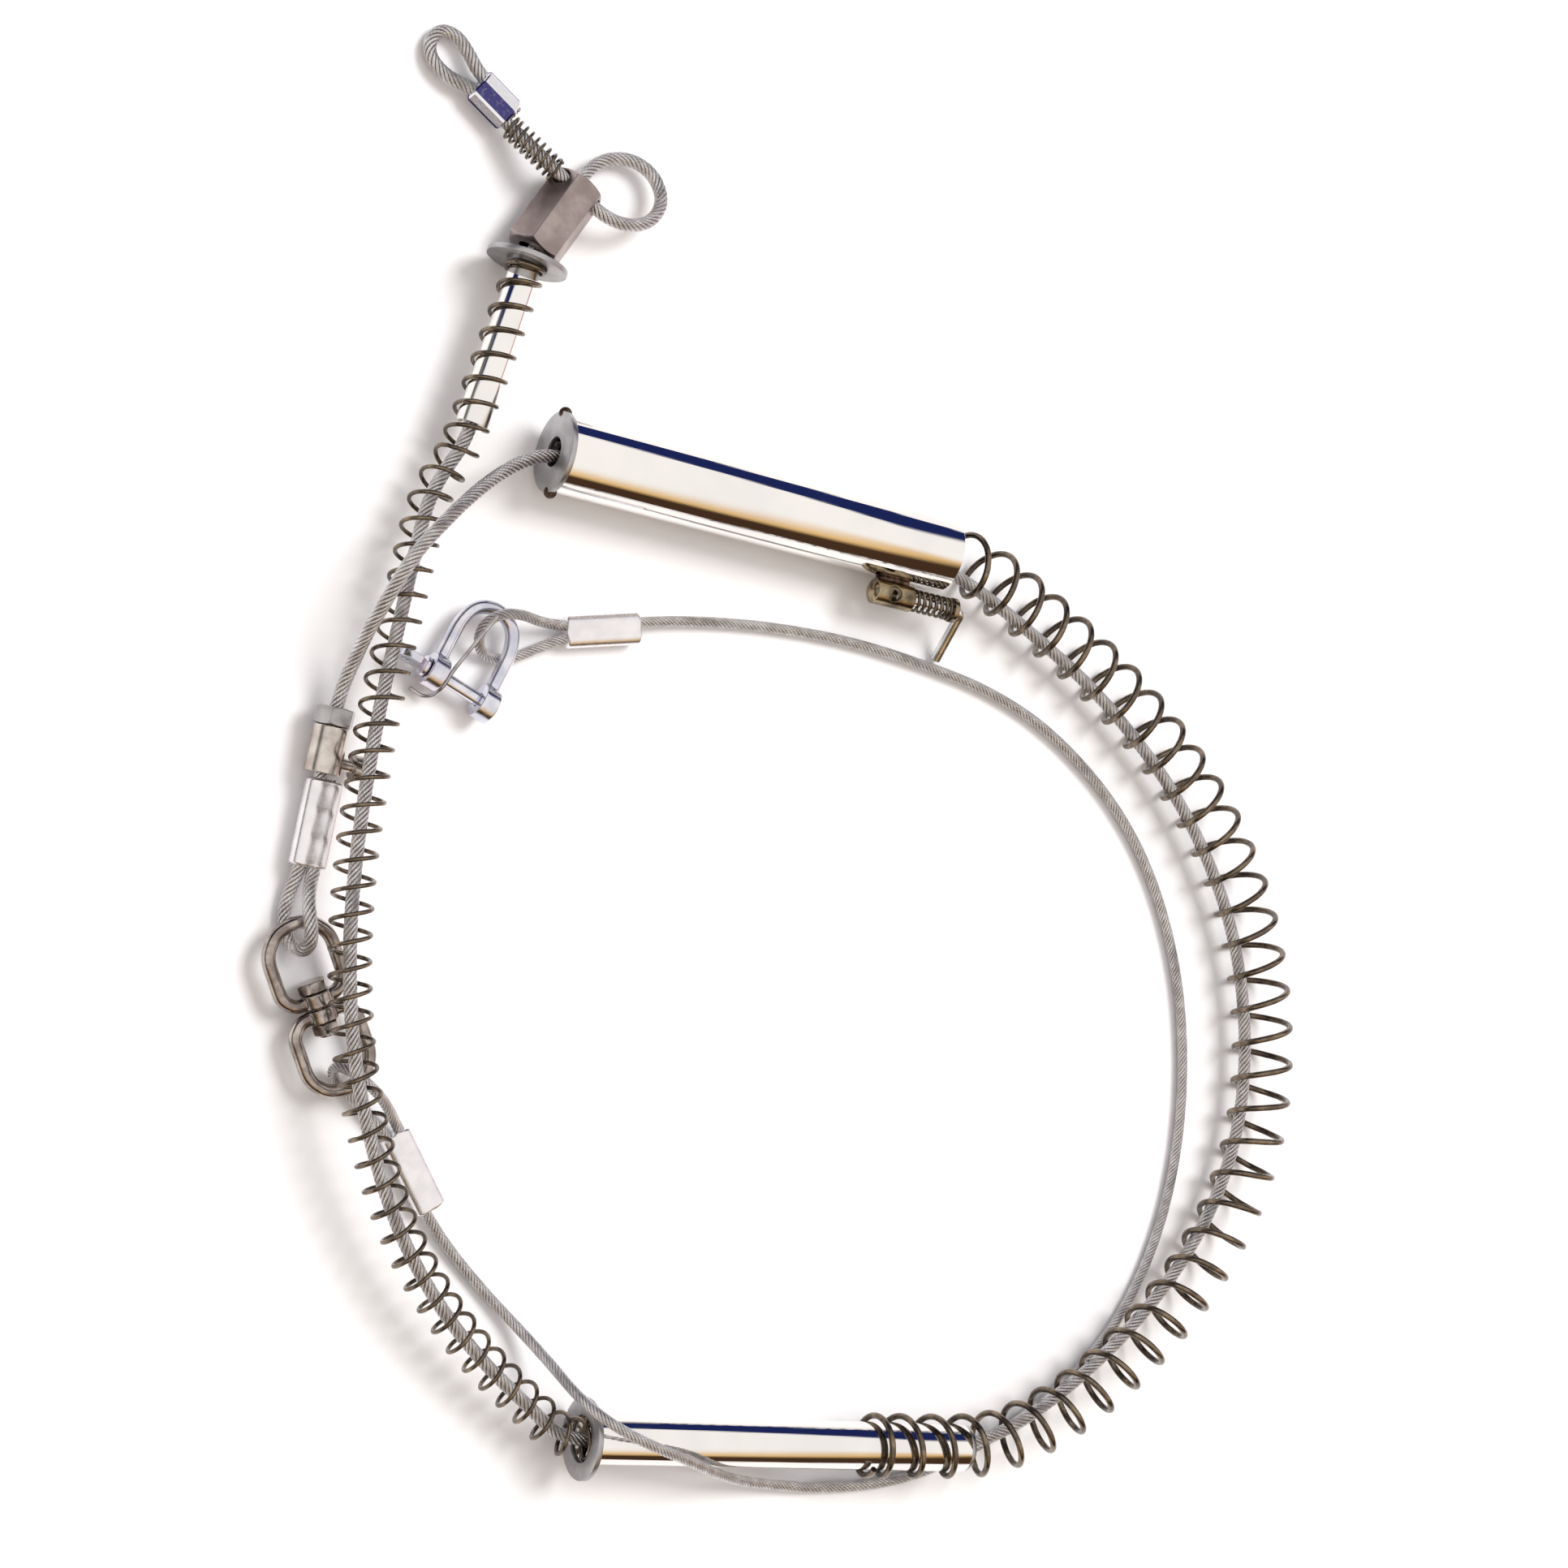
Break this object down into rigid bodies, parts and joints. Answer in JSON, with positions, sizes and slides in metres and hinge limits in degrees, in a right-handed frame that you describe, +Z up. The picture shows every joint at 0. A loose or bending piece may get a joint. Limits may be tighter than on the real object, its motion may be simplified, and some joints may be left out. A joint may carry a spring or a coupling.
{
  "type": "spring powered cable foot snare",
  "caption": "Foot snare laid out ready to set: wire rope noose through a long nut, telescopic tubes with two springs, side latch, stopper, swivel and shackle.",
  "frame": {"origin": "on the surface the object lies on, under the middle of the hardware's footprint (cables left out)", "axes": "+Z up from the surface; +Y towards the noose end, +X towards the large spring's bend"},
  "size_m": [0.4373, 0.5362, 0.037],
  "materials": {
    "cable": "stranded stainless wire rope",
    "polished_tube": "mirror polished stainless tube",
    "cap": "satin steel with faint turning marks",
    "weld": "heat-browned weld bead",
    "latch": "heat-tinted polished steel",
    "spring": "oil-tempered spring wire, dark bronze",
    "small_spring": "oil-tempered spring wire, dark bronze",
    "nut": "satin turned steel",
    "ferrule": "bright pressed aluminium",
    "dark_ferrule": "bright pressed aluminium with dark reflections",
    "stopper": "machined steel",
    "swivel": "polished stainless",
    "shackle": "bright zinc plate",
    "lock_wire": "bright soft wire"
  },
  "bodies": {
    "cable_run": {"snare_cable": "cable", "tether_cable": "cable", "noose_ferrule": "dark_ferrule", "swivel_ferrule_snare": "ferrule", "swivel_ferrule_tether": "ferrule", "shackle_ferrule": "ferrule", "long_nut": "nut", "buffer_spring": "small_spring", "large_spring": "spring", "small_spring": "small_spring", "swivel_bow_snare": "swivel", "stopper_sleeve": "stopper"},
    "housing": {"housing_tube": "polished_tube", "housing_cap": "cap", "cap_tack_welds": "weld", "latch_barrel": "latch", "latch_weld": "weld", "latch_spring": "small_spring"},
    "latch_collar": {"latch_seat": "latch"},
    "latch_rod": {"latch_pin": "latch"},
    "middle": {"middle_tube": "polished_tube", "middle_flange": "cap", "middle_stop": "cap"},
    "plunger": {"plunger_tube": "polished_tube", "plunger_washer": "cap"},
    "gland": {"stopper_gland": "stopper"},
    "thumb_screw": {"stopper_screw": "stopper"},
    "swivel_pin": {"swivel_bolt": "swivel", "swivel_nut": "swivel"},
    "swivel_far_half": {"swivel_bow_tether": "swivel"},
    "shackle": {"shackle_bow": "shackle", "lock_wire": "lock_wire"},
    "shackle_cross_pin": {"shackle_pin": "shackle"}
  },
  "joints": [
    {"name": "housing_roll", "type": "hinge", "parent": "cable_run", "child": "housing", "pos_m": [-0.02684, 0.10687, 0.015], "axis": [-0.9816, 0.1909, 0], "range_deg": [0, 120]},
    {"name": "latch_slide", "type": "slide", "parent": "housing", "child": "latch_collar", "axis": [-0.9816, 0.1909, 0], "range_m": [0, 0.006], "stiffness_N_per_m": 400, "deforming": ["latch_spring"]},
    {"name": "latch_swing", "type": "hinge", "parent": "latch_collar", "child": "latch_rod", "pos_m": [0.05906, 0.06979, 0.015], "axis": [-0.9816, 0.1909, 0], "range_deg": [0, 130]},
    {"name": "middle_tube_slide", "type": "slide", "parent": "cable_run", "child": "middle", "axis": [-0.9949, 0.0994, -0.0147], "range_m": [0, 0.006], "stiffness_N_per_m": 200, "deforming": ["small_spring"]},
    {"name": "plunger_slide", "type": "slide", "parent": "cable_run", "child": "plunger", "axis": [-0.3517, -0.9361, 0], "range_m": [0, 0.01], "stiffness_N_per_m": 200, "deforming": ["small_spring"]},
    {"name": "stopper_gland_turn", "type": "hinge", "parent": "cable_run", "child": "gland", "pos_m": [-0.192, 0.02743, 0.00983], "axis": [0.2122, 0.9747, 0.0707], "continuous": true},
    {"name": "stopper_screw_turn", "type": "hinge", "parent": "cable_run", "child": "thumb_screw", "pos_m": [-0.18552, 0.01019, 0.00874], "axis": [0.9771, -0.2128, 0], "continuous": true},
    {"name": "swivel_bolt_spin", "type": "hinge", "parent": "cable_run", "child": "swivel_pin", "pos_m": [-0.19715, -0.0734, 0.0085], "axis": [0.3426, -0.9395, 0], "continuous": true},
    {"name": "swivel_turn", "type": "hinge", "parent": "cable_run", "child": "swivel_far_half", "pos_m": [-0.19612, -0.07622, 0.0085], "axis": [0.3426, -0.9395, 0], "range_deg": [-6, 6]},
    {"name": "shackle_swing", "type": "hinge", "parent": "cable_run", "child": "shackle", "pos_m": [-0.1235, 0.0541, 0.0075], "axis": [0, 0, 1], "range_deg": [-6, 6]},
    {"name": "shackle_pin_turn", "type": "hinge", "parent": "shackle", "child": "shackle_cross_pin", "pos_m": [-0.1429, 0.0382, 0.0075], "axis": [-0.8718, 0.4899, 0], "continuous": true}
  ]
}
